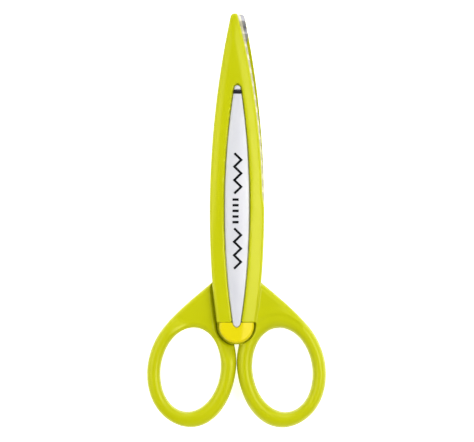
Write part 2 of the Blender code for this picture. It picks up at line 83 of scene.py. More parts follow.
# Window and cartridge face
FACE_HALF_WIDTH, FACE_WIDEST_Y, FACE_RADIUS = 5.2, 48.0, 308.0
FACE_TOP_Y, FACE_TAIL_Y = 97.9, -0.8
FACE_CROWN, FACE_DROP = 0.9, 0.55               # its dome, and how far it lies below the crest
NOSE_ROUNDING, TAIL_ROUNDING, FACE_EDGE_ROUNDING = 1.3, 1.6, 0.45
CARRIER_UNDERSIDE, HEAD_ROOM_Y = 2.7, 3.9       # the carrier clears the rivet's head below this y
WINDOW_GAP, LIP_GAP, LIP_DEPTH = 0.45, 0.08, 1.3
WINDOW_END_ROOM, WINDOW_BOTTOM_Y = 0.3, -3.0
WINDOW_ROUNDING, WINDOW_EDGE_ROUNDING = 1.7, 0.25
CLIP_Y, CLIP_HALF_LENGTH, CLIP_DEPTH = 95.3, 0.72, 1.5
CLIP_OVERHANG, CLIP_PROUD = 0.05, 0.12          # past the face's sides, and above it
CLIP_CORNER_ROUNDING, CLIP_EDGE_ROUNDING = 0.2, 0.25
SLOT_HALF_LENGTH, SLOT_DEPTH = 0.9, 1.7         # the clip's slot in the carrier
NUB_HALF_WIDTH, NUB_START_Y = 1.35, 96.1

# Hub and button
HUB_FACE, HUB_FLOOR, HUB_TOP, HUB_BORE = 0.15, 1.9, 3.0, 2.8
COUNTERBORE_RADIUS, COUNTERBORE_TOP = 3.5, 3.7
BUTTON_TOP_Y, BUTTON_MARGIN, BUTTON_UNDERSIDE = 1.22, 0.65, 4.4
BUTTON_DROP, BUTTON_ROUNDING, BUTTON_CORNER_ROUNDING = 0.1, 1.1, 0.12
POCKET_TOP_Y, POCKET_OVERCUT, POCKET_EDGE_ROUNDING = 1.3, 0.05, 0.15
GROOVE_FLOOR = 3.2
HAIRLINE = 0.12                                 # visible gap between neat-fitting pieces

# Spring under the button
SPRING_Y, SPRING_RADIUS, SPRING_WIRE, SPRING_TURNS = -5.2, 1.15, 0.18, 4
SPRING_ENDS = 2.0, 4.3                          # heights of the coil's two ends

# Finger ring: the hole's ellipse (centre x, centre y, semi-minor, semi-major, tilt in degrees), and
# its outside as the hole scaled up by a mean share and three swells, each a size and a peak angle
RING_HOLE = (18.8, -18.35, 12.17, 17.28, 8.4)
RING_SCALE = 1.453
RING_SWELLS = ((0.069, 130.0), (0.030, -4.0), (0.0255, -13.5))
RING_TOUCH, RING_TOUCH_AT, RING_TOUCH_SPREAD = 0.013, 167.0, 0.03    # a pad where the rings meet
RING_HALF_DEPTH, RING_FULLNESS = 4.2, 2.3

# Arm
ARM_START, ARM_HANDLES = (9.0, 18.4), ((14.8, 13.4), (22.0, 7.9))
ARM_MEETS_RING = math.radians(48.0)             # where the arm's edge joins the ring's outside
ARM_TUBE = math.radians(12.0), math.radians(138.0)   # the stretch of tube that the arm runs into
ARM_HUB_CORNERS = [(4.6, 0.0), (5.5, 8.0), (6.5, 16.0)]
ARM_EDGE_POINTS, ARM_TUBE_POINTS = 24, 22
ARM_TOP, ARM_UNDERSIDE, ARM_ROUNDING = 4.2, -4.0, 2.4
ARM_BLEND_AT_EDGE, ARM_BLEND_INSIDE = 0.5, 2.5  # fillet between arm and ring
ARM_BLEND_REACH = 4.0                           # it grows from one to the other over this length
SEAM_HALF_WIDTH, SEAM_DEPTH, SEAM_ROUNDING = 0.25, 1.0, 0.1    # groove beside the other, closed leaf

# Room for the other half as the scissors open
OPENING = math.radians(55.0)
STOP = math.radians(61.5)                       # where the two webs would meet
STOP_TOP = 2.4
WEB_UNDERSIDE = -1.9
HUB_ROOM, HUB_FACE_ROOM = 0.4, 0.2              # beside and above the other half's hub
SHOULDER_CLEARANCE, SHOULDER_ROUNDING = 0.6, 1.8
SHOULDER_LENGTH, SHOULDER_DROP = 8.0, 3.0       # the web ramps down into the ring past the leaf's path
SHOULDER_END_Y = 64.0                           # past this the leaf's path keeps its width
SHOULDER_STEEPNESS = 0.8                        # keeps the ramp's field close to a true distance
ROOM_ROUNDING = 0.3

# Corrugated blades
WAVE_START_R, WAVE_PITCH, WAVE_HEIGHT, WAVE_HALF_COUNT = 31.2, 5.33, 3.0, 36
WAVE_CRISPNESS = 0.985                          # 1 would make the creases knife-sharp
ROWS_PER_CREASE, BODY_COLUMNS, GROUND_COLUMNS = 10, 8, 4
BLADE_CLEARANCE, BLADE_THICKNESS = 0.2, 0.55
BLADE_EDGE_MARGIN, BLADE_EDGE_INSET, BLADE_EDGE_GROWTH = 0.05, 1.64, 1.3
BLADE_BACK_MARGIN = 1.6
BLADE_BACK_OUT = (114.5, 118.5, 0.1)            # where the back comes out to the side, and its margin
# The ground bevel's faces also carry a painted cream highlight from the ground-edge material
GROUND_WIDTH, GROUND_THICKNESS = 0.8, 0.12      # the bevel ground along the cutting edge

# Printed marks on the cartridge
ZIGZAG_TOPS, ZIGZAG_STEP, ZIGZAG_X = (70.2, 39.6), 2.74, (-1.15, 1.65)
ZIGZAG_POINTS, PRINT_WIDTH = 7, 0.95
BARS_Y, BAR_COUNT, BAR_X, BAR_WIDTH = (42.1, 51.3), 5, (-1.85, 0.65), 1.0
INK_HEIGHT = 0.05

# Meshing: the low and high corner of each moulding's contouring grid, and how fine it is
SHELL_BOX = (-12, -43, -4.4), (37.5, 128.5, 7.2)
INSERT_BOX = (-6, -2, 2), (6, 99, 7)
STRAP_BOX = (-3, 94, 4), (3, 97, 7)
CATCH_BOX = (-8.5, -8.5, 4), (8.5, 2, 7.2)
FINE_STEP, STRAP_STEP = STEP * 0.6, 0.12
CORNER_PULL = 0.08                              # holds a vertex near its crossings on a flat surface
SHARP_ANGLE = math.radians(35.0)                # a fold steeper than this is shaded as an edge


# ---------------------------------------------------------------- fields

def round_max(a, b, radius):
    """Inside both a and b, with the edge between them rounded."""
    corner = np.hypot(np.maximum(a + radius, 0.0), np.maximum(b + radius, 0.0))
    return np.minimum(np.maximum(a, b), -radius) + corner


def soft_min(a, b, blend):
    """Inside a or b, with the hollow between them filled to a fillet."""
    near = np.maximum(blend - np.abs(a - b), 0.0) / blend
    return np.minimum(a, b) - near * near * blend / 4.0


def smooth_step(t):
    t = np.clip(t, 0.0, 1.0)
    return t * t * (3.0 - 2.0 * t)


def arc_half_width(y, widest, widest_y, radius):
    return widest - radius + np.sqrt(radius ** 2 - (y - widest_y) ** 2)


def spine_x(y):
    """Distance from the centre line to the leaf's outer side."""
    narrowing = HUB_NARROWING * smooth_step(1.0 - y / HUB_NARROWING_Y)
    return arc_half_width(y, LEAF_HALF_WIDTH, LEAF_WIDEST_Y, LEAF_RADIUS) - narrowing


def past_start(y):
    """Share of the way from where the inset starts to the tip."""
    return np.maximum(0.0, (y - INSET_START_Y) / (TIP_Y - INSET_START_Y))


def inset(y):
    """How far the moulding stops short of the leaf's side on the cutting side."""
    step = INSET_STEP * smooth_step((y - INSET_START_Y) / INSET_STEP_LENGTH)
    return step + (INSET_AT_TIP - INSET_STEP) * past_start(y) ** INSET_GROWTH


def face_x(y):
    return arc_half_width(y, FACE_HALF_WIDTH, FACE_WIDEST_Y, FACE_RADIUS)


HUB_RADIUS = float(spine_x(0.0))


def eased(past, ease):
    """About nought below zero and about the distance above it, with no kink between."""
    return 0.5 * (past + np.sqrt(past ** 2 + ease ** 2))


def crest_z(y):
    """Height of the leaf's centre line, which slopes down to the tip."""
    return HALF_DEPTH - TAPER_SLOPE * eased(y - TAPER_START_Y, TAPER_EASE)


def leaf_top(x, y):
    """Height of the leaf's surface, which slopes down from the crest in a band along each side."""
    spine_band = eased(SPINE_BAND - spine_x(y) - x, SLOPE_EASE)
    widening = BAND_WIDENING * smooth_step((y - WIDENING_Y[0]) / (WIDENING_Y[1] - WIDENING_Y[0]))
    cutting_band = eased(CUTTING_BAND + widening - spine_x(y) + inset(y) + x, SLOPE_EASE)
    growth = smooth_step((y - SPINE_SLOPE_Y[0]) / (SPINE_SLOPE_Y[1] - SPINE_SLOPE_Y[0]))
    return crest_z(y) - SIDE_SLOPE * (spine_band * growth + cutting_band)


def face_top(x, y):
    across = np.abs(x) / FACE_HALF_WIDTH
    return crest_z(y) - FACE_DROP - FACE_CROWN * across ** 2


def ring_scale(turn):
    """How much larger the ring's outside is than its hole, at an angle round it."""
    scale = RING_SCALE
    for waves, (size, peak) in enumerate(RING_SWELLS, start=1):
        scale = scale + size * np.cos(waves * (turn - math.radians(peak)))
    pad = np.exp((np.cos(turn - math.radians(RING_TOUCH_AT)) - 1.0) / RING_TOUCH_SPREAD)
    return scale + RING_TOUCH * pad


def ring_point(turn, scale):
    cx, cy, minor, major, tilt = RING_HOLE
    x, y = scale * minor * math.cos(turn), scale * major * math.sin(turn)
    lean = math.radians(tilt)
    return (cx + x * math.cos(lean) - y * math.sin(lean), cy + x * math.sin(lean) + y * math.cos(lean))


def bezier(start, handles, end, count):
    t = np.linspace(0.0, 1.0, count)[:, None]
    a, b, c, d = (np.array(p) for p in (start, *handles, end))
    return (1 - t) ** 3 * a + 3 * t * (1 - t) ** 2 * b + 3 * t * t * (1 - t) * c + t ** 3 * d


def arm_outline():
    """Out along the arm's edge, back through the ring's tube, and over the hub."""
    end = ring_point(ARM_MEETS_RING, ring_scale(ARM_MEETS_RING))
    edge = bezier(ARM_START, ARM_HANDLES, end, ARM_EDGE_POINTS)
    tube = [ring_point(turn, (1 + ring_scale(turn)) / 2)
            for turn in np.linspace(*ARM_TUBE, ARM_TUBE_POINTS)]
    return np.vstack([edge, tube, ARM_HUB_CORNERS])


def polygon_distance(points, x, y):
    x, y = np.broadcast_arrays(x, y)
    nearest = np.full(x.shape, np.inf)
    sign = np.ones(x.shape)
    for (ax, ay), (bx, by) in zip(points, np.roll(points, -1, axis=0)):
        ex, ey = bx - ax, by - ay
        px, py = x - ax, y - ay
        t = np.clip((px * ex + py * ey) / (ex * ex + ey * ey), 0.0, 1.0)
        nearest = np.minimum(nearest, (px - t * ex) ** 2 + (py - t * ey) ** 2)
        above = y >= ay
        below = y < by
        left = ex * py > ey * px
        flips = (above & below & left) | (~above & ~below & ~left)
        sign = np.where(flips, -sign, sign)
    return sign * np.sqrt(nearest)


ARM_OUTLINE = arm_outline()


def leaf_plan(x, y):
    outline = round_max(np.abs(x) - spine_x(y), y - TIP_Y, TIP_ROUNDING)
    blade_part = np.maximum(np.maximum(outline, x - spine_x(y) + inset(y)), -y)
    return np.minimum(blade_part, np.hypot(x, y) - HUB_RADIUS)


def ring_field(x, y, z):
    """A tube of rounded section between the hole and the ring's outside."""
    cx, cy, minor, major, tilt = RING_HOLE
    lean = math.radians(tilt)
    u = (x - cx) * math.cos(lean) + (y - cy) * math.sin(lean)
    v = (y - cy) * math.cos(lean) - (x - cx) * math.sin(lean)
    reach = np.maximum(np.hypot(u / minor, v / major), 1e-3)
    width = ring_scale(np.arctan2(v / major, u / minor)) - 1.0
    half = width / 2 * reach / np.hypot(u / minor ** 2, v / major ** 2)
    across = np.abs(2 * (reach - 1.0) / width - 1.0)
    level = (across ** RING_FULLNESS + (np.abs(z) / RING_HALF_DEPTH) ** RING_FULLNESS)
    return (level ** (1 / RING_FULLNESS) - 1.0) * np.minimum(half, RING_HALF_DEPTH)


def room_for_other_half(x, y, z):
    """Negative where the other half's leaf, web and hub pass as the scissors open."""
    u = x * math.cos(OPENING) - y * math.sin(OPENING)
    v = x * math.sin(OPENING) + y * math.cos(OPENING)
    reach = np.copysign(np.hypot(u, np.minimum(v, 0.0)), u)
    past = reach - spine_x(np.clip(v, 0.0, SHOULDER_END_Y)) - SHOULDER_CLEARANCE
    ramp = SHOULDER_DROP * smooth_step(past / SHOULDER_LENGTH)
    leaf = (z - WEB_UNDERSIDE + ramp) * SHOULDER_STEEPNESS
    web = np.maximum(x * math.sin(STOP) - y * math.cos(STOP), z - STOP_TOP)
    hub = np.maximum(np.hypot(x, y) - HUB_RADIUS - HUB_ROOM, z - HUB_FACE - HUB_FACE_ROOM)
    return leaf, np.minimum(web, hub)


def limb_field(x, y, z):
    """Arm and ring, without the room that the other half needs."""
    plan = polygon_distance(ARM_OUTLINE, x, y)
    arm = round_max(plan, np.maximum(z - ARM_TOP, ARM_UNDERSIDE - z), ARM_ROUNDING)
    inside = smooth_step(-plan / ARM_BLEND_REACH)
    blend = ARM_BLEND_AT_EDGE + (ARM_BLEND_INSIDE - ARM_BLEND_AT_EDGE) * inside
    limb = soft_min(arm, ring_field(x, y, z), blend)
    seam = np.abs(leaf_plan(x, y)) - SEAM_HALF_WIDTH
    limb = round_max(limb, -np.maximum(seam, z - WEB_UNDERSIDE - SEAM_DEPTH), SEAM_ROUNDING)
    leaf_room, other_room = room_for_other_half(x, y, z)
    return round_max(round_max(limb, -leaf_room, SHOULDER_ROUNDING), -other_room, ROOM_ROUNDING)


def carrier_plan(x, y):
    """Outline of the cartridge's face, with a narrow nub past the clip and a round tail."""
    half = np.where(y > NUB_START_Y, NUB_HALF_WIDTH, face_x(y))
    plan = round_max(np.abs(x) - half, y - FACE_TOP_Y, NOSE_ROUNDING)
    return round_max(plan, FACE_TAIL_Y - y, TAIL_ROUNDING)


def window_cut(x, y, z):
    """The window's walls, with a lip just under the surface that hides the gap's depth."""
    def opening(gap):
        sides = np.abs(x) - face_x(y) - gap
        end = y - FACE_TOP_Y - gap - WINDOW_END_ROOM
        return np.maximum(round_max(sides, end, WINDOW_ROUNDING), WINDOW_BOTTOM_Y - y)
    below_lip = crest_z(y) - LIP_DEPTH - z
    wide = np.maximum(opening(WINDOW_GAP), below_lip)
    return np.minimum(wide, np.maximum(opening(LIP_GAP), HUB_FLOOR - z))


def pocket_cut(x, y, z):
    """Room for the button, with a shallow groove round it."""
    radius = np.hypot(x, y)
    below = y - POCKET_TOP_Y
    groove = np.maximum(radius - HUB_RADIUS - POCKET_OVERCUT, GROOVE_FLOOR - z)
    well = np.maximum(radius - HUB_RADIUS + BUTTON_MARGIN - HAIRLINE, HUB_FLOOR - z)
    return np.maximum(np.minimum(groove, well), below)


def handle_field(x, y, z):
    """Leaf, hub, arm and ring in one moulding, cut for the window, the button and the pivot."""
    leaf = round_max(leaf_plan(x, y), z - leaf_top(x, y), EDGE_ROUNDING)
    leaf = round_max(leaf, LEAF_UNDERSIDE - z, UNDERSIDE_ROUNDING)
    body = soft_min(leaf, limb_field(x, y, z), LEAF_TO_ARM_FILLET)
    leaf_room, other_room = room_for_other_half(x, y, z)
    body = np.maximum(body, -np.minimum(leaf_room, other_room))
    radius = np.hypot(x, y)
    hub = np.maximum(radius - HUB_RADIUS, np.maximum(HUB_FACE - z, z - HUB_TOP))
    body = np.minimum(body, hub)
    body = round_max(body, -window_cut(x, y, z), WINDOW_EDGE_ROUNDING)
    body = round_max(body, -pocket_cut(x, y, z), POCKET_EDGE_ROUNDING)
    counterbore = np.maximum(radius - COUNTERBORE_RADIUS, np.maximum(HUB_FLOOR - z, z - COUNTERBORE_TOP))
    return np.maximum(body, -np.minimum(counterbore, radius - HUB_BORE))


def carrier_field(x, y, z):
    """The cartridge, with a slot for the clip and room for the rivet's head."""
    body = round_max(carrier_plan(x, y), z - face_top(x, y), FACE_EDGE_ROUNDING)
    body = np.maximum(body, CARRIER_UNDERSIDE - z)
    slot = np.maximum(np.abs(y - CLIP_Y) - SLOT_HALF_LENGTH, crest_z(CLIP_Y) - SLOT_DEPTH - z)
    head_room = np.maximum(y - HEAD_ROOM_Y, z - COUNTERBORE_TOP)
    return np.maximum(body, -np.minimum(slot, head_room))


def clip_field(x, y, z):
    """The black strap across the cartridge's nose."""
    across = np.abs(x) - face_x(y) - CLIP_OVERHANG
    plan = round_max(across, np.abs(y - CLIP_Y) - CLIP_HALF_LENGTH, CLIP_CORNER_ROUNDING)
    strap = round_max(plan, z - face_top(x, y) - CLIP_PROUD, CLIP_EDGE_ROUNDING)
    return np.maximum(strap, crest_z(CLIP_Y) - CLIP_DEPTH - z)


def button_field(x, y, z):
    """A half-round cap, notched for the cartridge's tail."""
    rim = np.hypot(x, y) - HUB_RADIUS + BUTTON_MARGIN
    body = round_max(rim, z - leaf_top(x, y) + BUTTON_DROP, BUTTON_ROUNDING)
    body = round_max(body, y - BUTTON_TOP_Y, BUTTON_CORNER_ROUNDING)
    body = round_max(body, -(carrier_plan(x, y) - HAIRLINE), BUTTON_CORNER_ROUNDING)
    return np.maximum(body, BUTTON_UNDERSIDE - z)


# ---------------------------------------------------------------- dual contouring

def slope(field, points):
    """Unit normals of the field at points on its surface."""
    reach = 0.01
    parts = []
    for axis in range(3):
        offset = np.zeros(3)
        offset[axis] = reach
        ahead, behind = points + offset, points - offset
        parts.append(field(*ahead.T) - field(*behind.T))
    normal = np.stack(parts, axis=1)
    return normal / np.maximum(np.linalg.norm(normal, axis=1, keepdims=True), 1e-9)


def crossings(field, values, axes, axis):
    """Where the surface crosses the grid's edges along one axis."""
    step = np.eye(3, dtype=int)[axis]
    counts = np.array(values.shape) - step
    low = values[: counts[0], : counts[1], : counts[2]]
    high = values[step[0]:, step[1]:, step[2]:]
    index = np.argwhere((low < 0) != (high < 0))
    at_low = low[tuple(index.T)]
    at_high = high[tuple(index.T)]
    near = np.stack([axes[i][index[:, i]] for i in range(3)], axis=1)
    far = near + step * (axes[axis][1] - axes[axis][0])
    share = at_low / (at_low - at_high)
    points = near + (far - near) * share[:, None]
    return index, points, slope(field, points), at_low < 0


def contour(field, low, high, step):
    """Vertices and quads of the surface where the field is zero."""
    axes = [np.arange(a - step, b + 2 * step, step) for a, b in zip(low, high)]
    grid = field(axes[0][:, None, None], axes[1][None, :, None], axes[2][None, None, :])
    values = np.broadcast_to(grid, [len(a) for a in axes]).copy()
    shape = np.array(values.shape)
    keys, points, normals, quads = [], [], [], []
    for axis in range(3):
        index, spots, directions, outward = crossings(field, values, axes, axis)
        b, c = np.eye(3, dtype=int)[(axis + 1) % 3], np.eye(3, dtype=int)[(axis + 2) % 3]
        around = [np.ravel_multi_index((index + shift).T, shape) for shift in (-b - c, -c, 0 * b, -b)]
        ring = np.stack(around, axis=1)
        ring[~outward] = ring[~outward][:, ::-1]
        quads.append(ring)
        for corner in around:
            keys.append(corner)
            points.append(spots)
            normals.append(directions)
    keys, points, normals = (np.concatenate(part) for part in (keys, points, normals))
    cells, owner = np.unique(keys, return_inverse=True)
    total = len(cells)
    count = np.bincount(owner, minlength=total)[:, None]
    centre = np.stack([np.bincount(owner, points[:, i], total) for i in range(3)], axis=1) / count
    system = np.zeros((total, 3, 3))
    target = np.zeros((total, 3))
    offset = np.einsum("ij,ij->i", normals, points - centre[owner])
    for i in range(3):
        target[:, i] = np.bincount(owner, normals[:, i] * offset, total)
        for j in range(3):
            system[:, i, j] = np.bincount(owner, normals[:, i] * normals[:, j], total)
    system += CORNER_PULL * np.eye(3)
    shift = np.linalg.solve(system, target[:, :, None])[:, :, 0]
    corner = np.stack([axes[i][part] for i, part in enumerate(np.unravel_index(cells, shape))], axis=1)
    verts = np.clip(centre + shift, corner, corner + step)
    faces = np.searchsorted(cells, np.concatenate(quads))
    return verts, faces


# ---------------------------------------------------------------- pieces

def finished(name, mesh, materials, body, replaced=()):
    """A piece from a mesh, on its body, that takes the place of its CAD nodes."""
    mesh.shade_smooth()
    mesh.set_sharp_from_angle(angle=SHARP_ANGLE)
    for material in materials:
        mesh.materials.append(material)
    piece = bpy.data.objects.new(name, mesh)
    bpy.context.scene.collection.objects.link(piece)
    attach(piece, body)
    if replaced:
        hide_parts(*replaced)
    return piece


def placed(name, verts, faces, turned):
    """A mesh in metres from vertices in the pivot's frame, turned over for the rear half."""
    mesh = bpy.data.meshes.new(name)
    mesh.from_pydata([tuple(v) for v in verts], [], [tuple(f) for f in faces])
    turn = Matrix.Rotation(math.pi, 4, "Y") if turned else Matrix.Identity(4)
    mesh.transform(Matrix.Translation(PIVOT) @ turn @ Matrix.Scale(MM, 4))
    mesh.update()
    return mesh


def moulded(kind, field, box, step, material, node, body="half"):
    """The same moulding for the front and, turned over, for the rear."""
    verts, faces = contour(field, *box, step)
    for half in ("front", "rear"):
        mesh = placed(f"{half}_{kind}", verts, faces, half == "rear")
        finished(f"{half}_{kind}", mesh, [material], f"{half}_{body}", [f"{half}_{node}"])


# ---------------------------------------------------------------- corrugated blades

def blade_edge_x(y):
    """Distance from the centre line to the blade's cutting edge."""
    return spine_x(y) - BLADE_EDGE_MARGIN - BLADE_EDGE_INSET * past_start(y) ** BLADE_EDGE_GROWTH


def blade_back_x(y):
    """The blade's back runs inside the moulding and comes out to its side at the tip."""
    start, end, margin = BLADE_BACK_OUT
    out = np.clip((y - start) / (end - start), 0.0, 1.0)
    return spine_x(y) - BLADE_BACK_MARGIN + (BLADE_BACK_MARGIN - margin) * out


def tip_corner(y):
    """How far the rounded tip cuts in from the leaf's sides."""
    past = np.clip(y - TIP_Y + TIP_ROUNDING, 0.0, TIP_ROUNDING)
    return TIP_ROUNDING - np.sqrt(TIP_ROUNDING ** 2 - past ** 2)


def on_circle(width, radius):
    """Distance from the centre line to a side of the blade, at a distance from the pivot."""
    y = radius
    for _ in range(4):                          # enough rounds for y to settle
        y = np.sqrt(radius ** 2 - (width(y) - tip_corner(y)) ** 2)
    return width(y) - tip_corner(y)


def wave(radius):
    """Height of the corrugation: a zigzag with slightly rounded creases."""
    turn = math.pi * (radius - WAVE_START_R) / (WAVE_PITCH / 2) - math.pi / 2
    return WAVE_HEIGHT / 2 * np.arcsin(WAVE_CRISPNESS * np.sin(turn)) / math.asin(WAVE_CRISPNESS)


def blade_arrays(side):
    """Vertices, quads, and which quads are ground and take the painted edge highlight, for a sheet that
    follows the wave.
    """
    end_r = WAVE_START_R + WAVE_HALF_COUNT * WAVE_PITCH / 2
    radius = np.linspace(WAVE_START_R, end_r, WAVE_HALF_COUNT * ROWS_PER_CREASE + 1)[:, None]
    back, edge = -on_circle(blade_back_x, radius), on_circle(blade_edge_x, radius)
    ground = edge - np.minimum(GROUND_WIDTH, (edge - back) / 3)
    body_share = np.linspace(0.0, 1.0, BODY_COLUMNS + 1)
    edge_share = np.linspace(0.0, 1.0, GROUND_COLUMNS + 1)[1:]
    x = np.hstack([back + (ground - back) * body_share, ground + (edge - ground) * edge_share])
    y = np.sqrt(radius ** 2 - x ** 2)
    thickness = np.hstack([np.ones(BODY_COLUMNS + 1), 1.0 - (1.0 - GROUND_THICKNESS) * edge_share])
    mating = wave(radius) + side * BLADE_CLEARANCE + 0 * x
    outer = mating + side * BLADE_THICKNESS * thickness
    rows, columns = x.shape
    sheets = [np.stack([side * x, y, z], axis=-1).reshape(-1, 3) for z in (mating, outer)]
    index = np.arange(rows * columns).reshape(rows, columns)
    here = [index[:-1, :-1], index[:-1, 1:], index[1:, 1:], index[1:, :-1]]
    lower = np.stack(here, axis=-1).reshape(-1, 4)
    upper = lower[:, ::-1] + rows * columns
    rim = np.concatenate([index[0], index[1:, -1], index[-1, -2::-1], index[-2:0:-1, 0]])
    following = np.roll(rim, -1)
    wall = np.stack([following, rim, rim + rows * columns, following + rows * columns], axis=-1)
    # These faces along the cutting edge take the ground-edge material, whose light cream colour is a
    # painted highlight standing in for the glint along the bevel
    edge_highlight_mask = np.zeros((rows - 1, columns - 1), dtype=int)
    edge_highlight_mask[:, BODY_COLUMNS:] = 1
    ground_highlight_faces = np.concatenate([0 * edge_highlight_mask.ravel(), edge_highlight_mask.ravel(), np.zeros(len(rim), dtype=int)])
    return np.vstack(sheets), np.vstack([lower, upper, wall]), ground_highlight_faces


def make_blades():
    for half, side in (("front", 1), ("rear", -1)):
        verts, faces, ground_highlight_faces = blade_arrays(side)
        mesh = placed(f"{half}_wave_blade", verts, faces, False)
        mesh.polygons.foreach_set("material_index", ground_highlight_faces)
        bm = bmesh.new()
        bm.from_mesh(mesh)
        bmesh.ops.recalc_face_normals(bm, faces=bm.faces)
        bm.to_mesh(mesh)
        bm.free()
        finished(f"{half}_wave_blade", mesh, [MATERIALS["blade_steel"], MATERIALS["ground_steel_highlight"]],
                 f"{half}_half", [f"{half}_blade"])


# ---------------------------------------------------------------- button springs

def coil_arrays():
    """A round wire carried along a helix, closed at both ends."""
    stations, sides = 20 * SPRING_TURNS, 8
    turn = np.linspace(0.0, math.tau * SPRING_TURNS, stations + 1)[:, None]
    angle = np.linspace(0.0, math.tau, sides, endpoint=False)
    low, high = SPRING_ENDS
    rise = np.linspace(low + SPRING_WIRE, high - SPRING_WIRE, stations + 1)[:, None]
    reach = SPRING_RADIUS + SPRING_WIRE * np.cos(angle)
    points = [reach * np.cos(turn), SPRING_Y + reach * np.sin(turn), rise + SPRING_WIRE * np.sin(angle)]
    verts = np.stack(points, axis=-1).reshape(-1, 3)
    index = np.arange(len(verts)).reshape(stations + 1, sides)
    beside = np.roll(index, -1, axis=1)
    wall = np.stack([index[:-1], index[1:], beside[1:], beside[:-1]], axis=-1).reshape(-1, 4)
    return verts, [index[0], index[-1][::-1], *wall]


def make_springs():
    """Each coil stands on its hub's floor under its button, with a mesh of its own."""
    verts, faces = coil_arrays()
    for half, side in (("front", 1), ("rear", -1)):
        mesh = placed(f"{half}_coil", verts, faces, half == "rear")
        coil = finished(f"{half}_coil", mesh, [MATERIALS["pin_steel"]], f"{half}_half",
                        [f"{half}_button_spring"])
        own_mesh(coil)


# ---------------------------------------------------------------- printed marks

def ribbon(points, width):
    """Left and right edges of a mitred line."""
    points = np.array(points, dtype=float)
    along = np.diff(points, axis=0)
    along /= np.linalg.norm(along, axis=1, keepdims=True)
    normals = np.stack([-along[:, 1], along[:, 0]], axis=1)
    before, after = np.vstack([normals[:1], normals]), np.vstack([normals, normals[-1:]])
    mitre = before + after
    mitre /= np.sum(mitre * before, axis=1, keepdims=True)
    return points + mitre * width / 2, points - mitre * width / 2


def raised_strip(points, width, verts, faces):
    """Adds a closed strip of ink that lies on the cartridge's face."""
    left, right = ribbon(points, width)
    first = len(verts)
    for (ax, ay), (bx, by) in zip(left, right):
        for x, y in ((ax, ay), (bx, by)):
            skin = float(face_top(x, y))
            verts += [(x, y, skin - INK_HEIGHT), (x, y, skin + INK_HEIGHT)]
    for i in range(len(points) - 1):
        a, b = first + 4 * i, first + 4 * (i + 1)
        faces += [(a + 1, a + 3, b + 3, b + 1), (a, b, b + 2, a + 2),
                  (a, a + 1, b + 1, b), (a + 2, b + 2, b + 3, a + 3)]
    last = first + 4 * (len(points) - 1)
    faces += [(first, first + 2, first + 3, first + 1), (last, last + 1, last + 3, last + 2)]


def print_arrays():
    """Two zigzags with a plain row of bars between them."""
    verts, faces = [], []
    for top in ZIGZAG_TOPS:
        corners = [(ZIGZAG_X[i % 2], top - ZIGZAG_STEP * i) for i in range(ZIGZAG_POINTS)]
        line = [corners[0]]
        for a, b in zip(corners, corners[1:]):
            line += [tuple(np.add(a, np.subtract(b, a) * t)) for t in (0.25, 0.5, 0.75, 1.0)]
        raised_strip(line, PRINT_WIDTH, verts, faces)
    for y in np.linspace(*BARS_Y, BAR_COUNT):
        raised_strip([(x, y) for x in np.linspace(*BAR_X, 6)], BAR_WIDTH, verts, faces)
    return verts, faces


def make_prints():
    verts, faces = print_arrays()
    for half in ("front", "rear"):
        mesh = placed(f"{half}_print", verts, faces, half == "rear")
        finished(f"{half}_print", mesh, [MATERIALS["ink"]], f"{half}_half")


# ---------------------------------------------------------------- materials

def new_material(name, colour, roughness, metallic=0.0, specular=0.5):
    """A Principled material and its shader node, ready for procedural detail."""
    material = bpy.data.materials.new(name)
    material.use_nodes = True
    shader = material.node_tree.nodes["Principled BSDF"]
    shader.inputs["Base Color"].default_value = (*colour, 1.0)
    shader.inputs["Roughness"].default_value = roughness
    shader.inputs["Metallic"].default_value = metallic
    shader.inputs["Specular IOR Level"].default_value = specular
    return material, shader


def noise(tree, scale, detail, stretch=(1.0, 1.0, 1.0)):
    """Noise in the object's own space. Scale is in features per metre."""
    place = tree.nodes.new("ShaderNodeTexCoord")
    mapping = tree.nodes.new("ShaderNodeMapping")
    mapping.inputs["Scale"].default_value = stretch
    texture = tree.nodes.new("ShaderNodeTexNoise")
    texture.inputs["Scale"].default_value = scale
    texture.inputs["Detail"].default_value = detail
    tree.links.new(place.outputs["Object"], mapping.inputs["Vector"])
    tree.links.new(mapping.outputs["Vector"], texture.inputs["Vector"])
    return texture.outputs["Fac"]


def vary(tree, source, socket, low, high):
    """Drives a number socket between two values with a pattern."""
    spread = tree.nodes.new("ShaderNodeMapRange")
    spread.inputs["From Min"].default_value = 0.3
    spread.inputs["From Max"].default_value = 0.7
    spread.inputs["To Min"].default_value = low
    spread.inputs["To Max"].default_value = high
    tree.links.new(source, spread.inputs["Value"])
    tree.links.new(spread.outputs["Result"], socket)


def tint(tree, source, socket, first, second):
    """Drives a colour socket between two colours with a pattern."""
    ramp = tree.nodes.new("ShaderNodeValToRGB")
    ramp.color_ramp.elements[0].position, ramp.color_ramp.elements[1].position = 0.35, 0.65
    ramp.color_ramp.elements[0].color = (*first, 1.0)
    ramp.color_ramp.elements[1].color = (*second, 1.0)
    tree.links.new(source, ramp.inputs["Fac"])
    tree.links.new(ramp.outputs["Color"], socket)


def bump(tree, source, shader, depth_mm):
    """Fine relief from a pattern."""
    relief = tree.nodes.new("ShaderNodeBump")
    relief.inputs["Distance"].default_value = depth_mm * MM
    tree.links.new(source, relief.inputs["Height"])
    tree.links.new(relief.outputs["Normal"], shader.inputs["Normal"])


def moulded_plastic(name, colour, shade, roughness, sheen=(1.0, 1.0, 1.0), specular=0.4):
    """Satin injection-moulded plastic: faint flow marks, a fine texture, uneven gloss."""
    material, shader = new_material(name, colour, roughness[0], specular=specular)
    shader.inputs["Specular Tint"].default_value = (*sheen, 1.0)
    tree = material.node_tree
    flow = noise(tree, 60.0, 3.0, (1.0, 0.35, 1.0))
    tint(tree, flow, shader.inputs["Base Color"], colour, shade)
    vary(tree, noise(tree, 420.0, 4.0), shader.inputs["Roughness"], *roughness)
    bump(tree, noise(tree, 2600.0, 3.0), shader, 0.012)
    return material


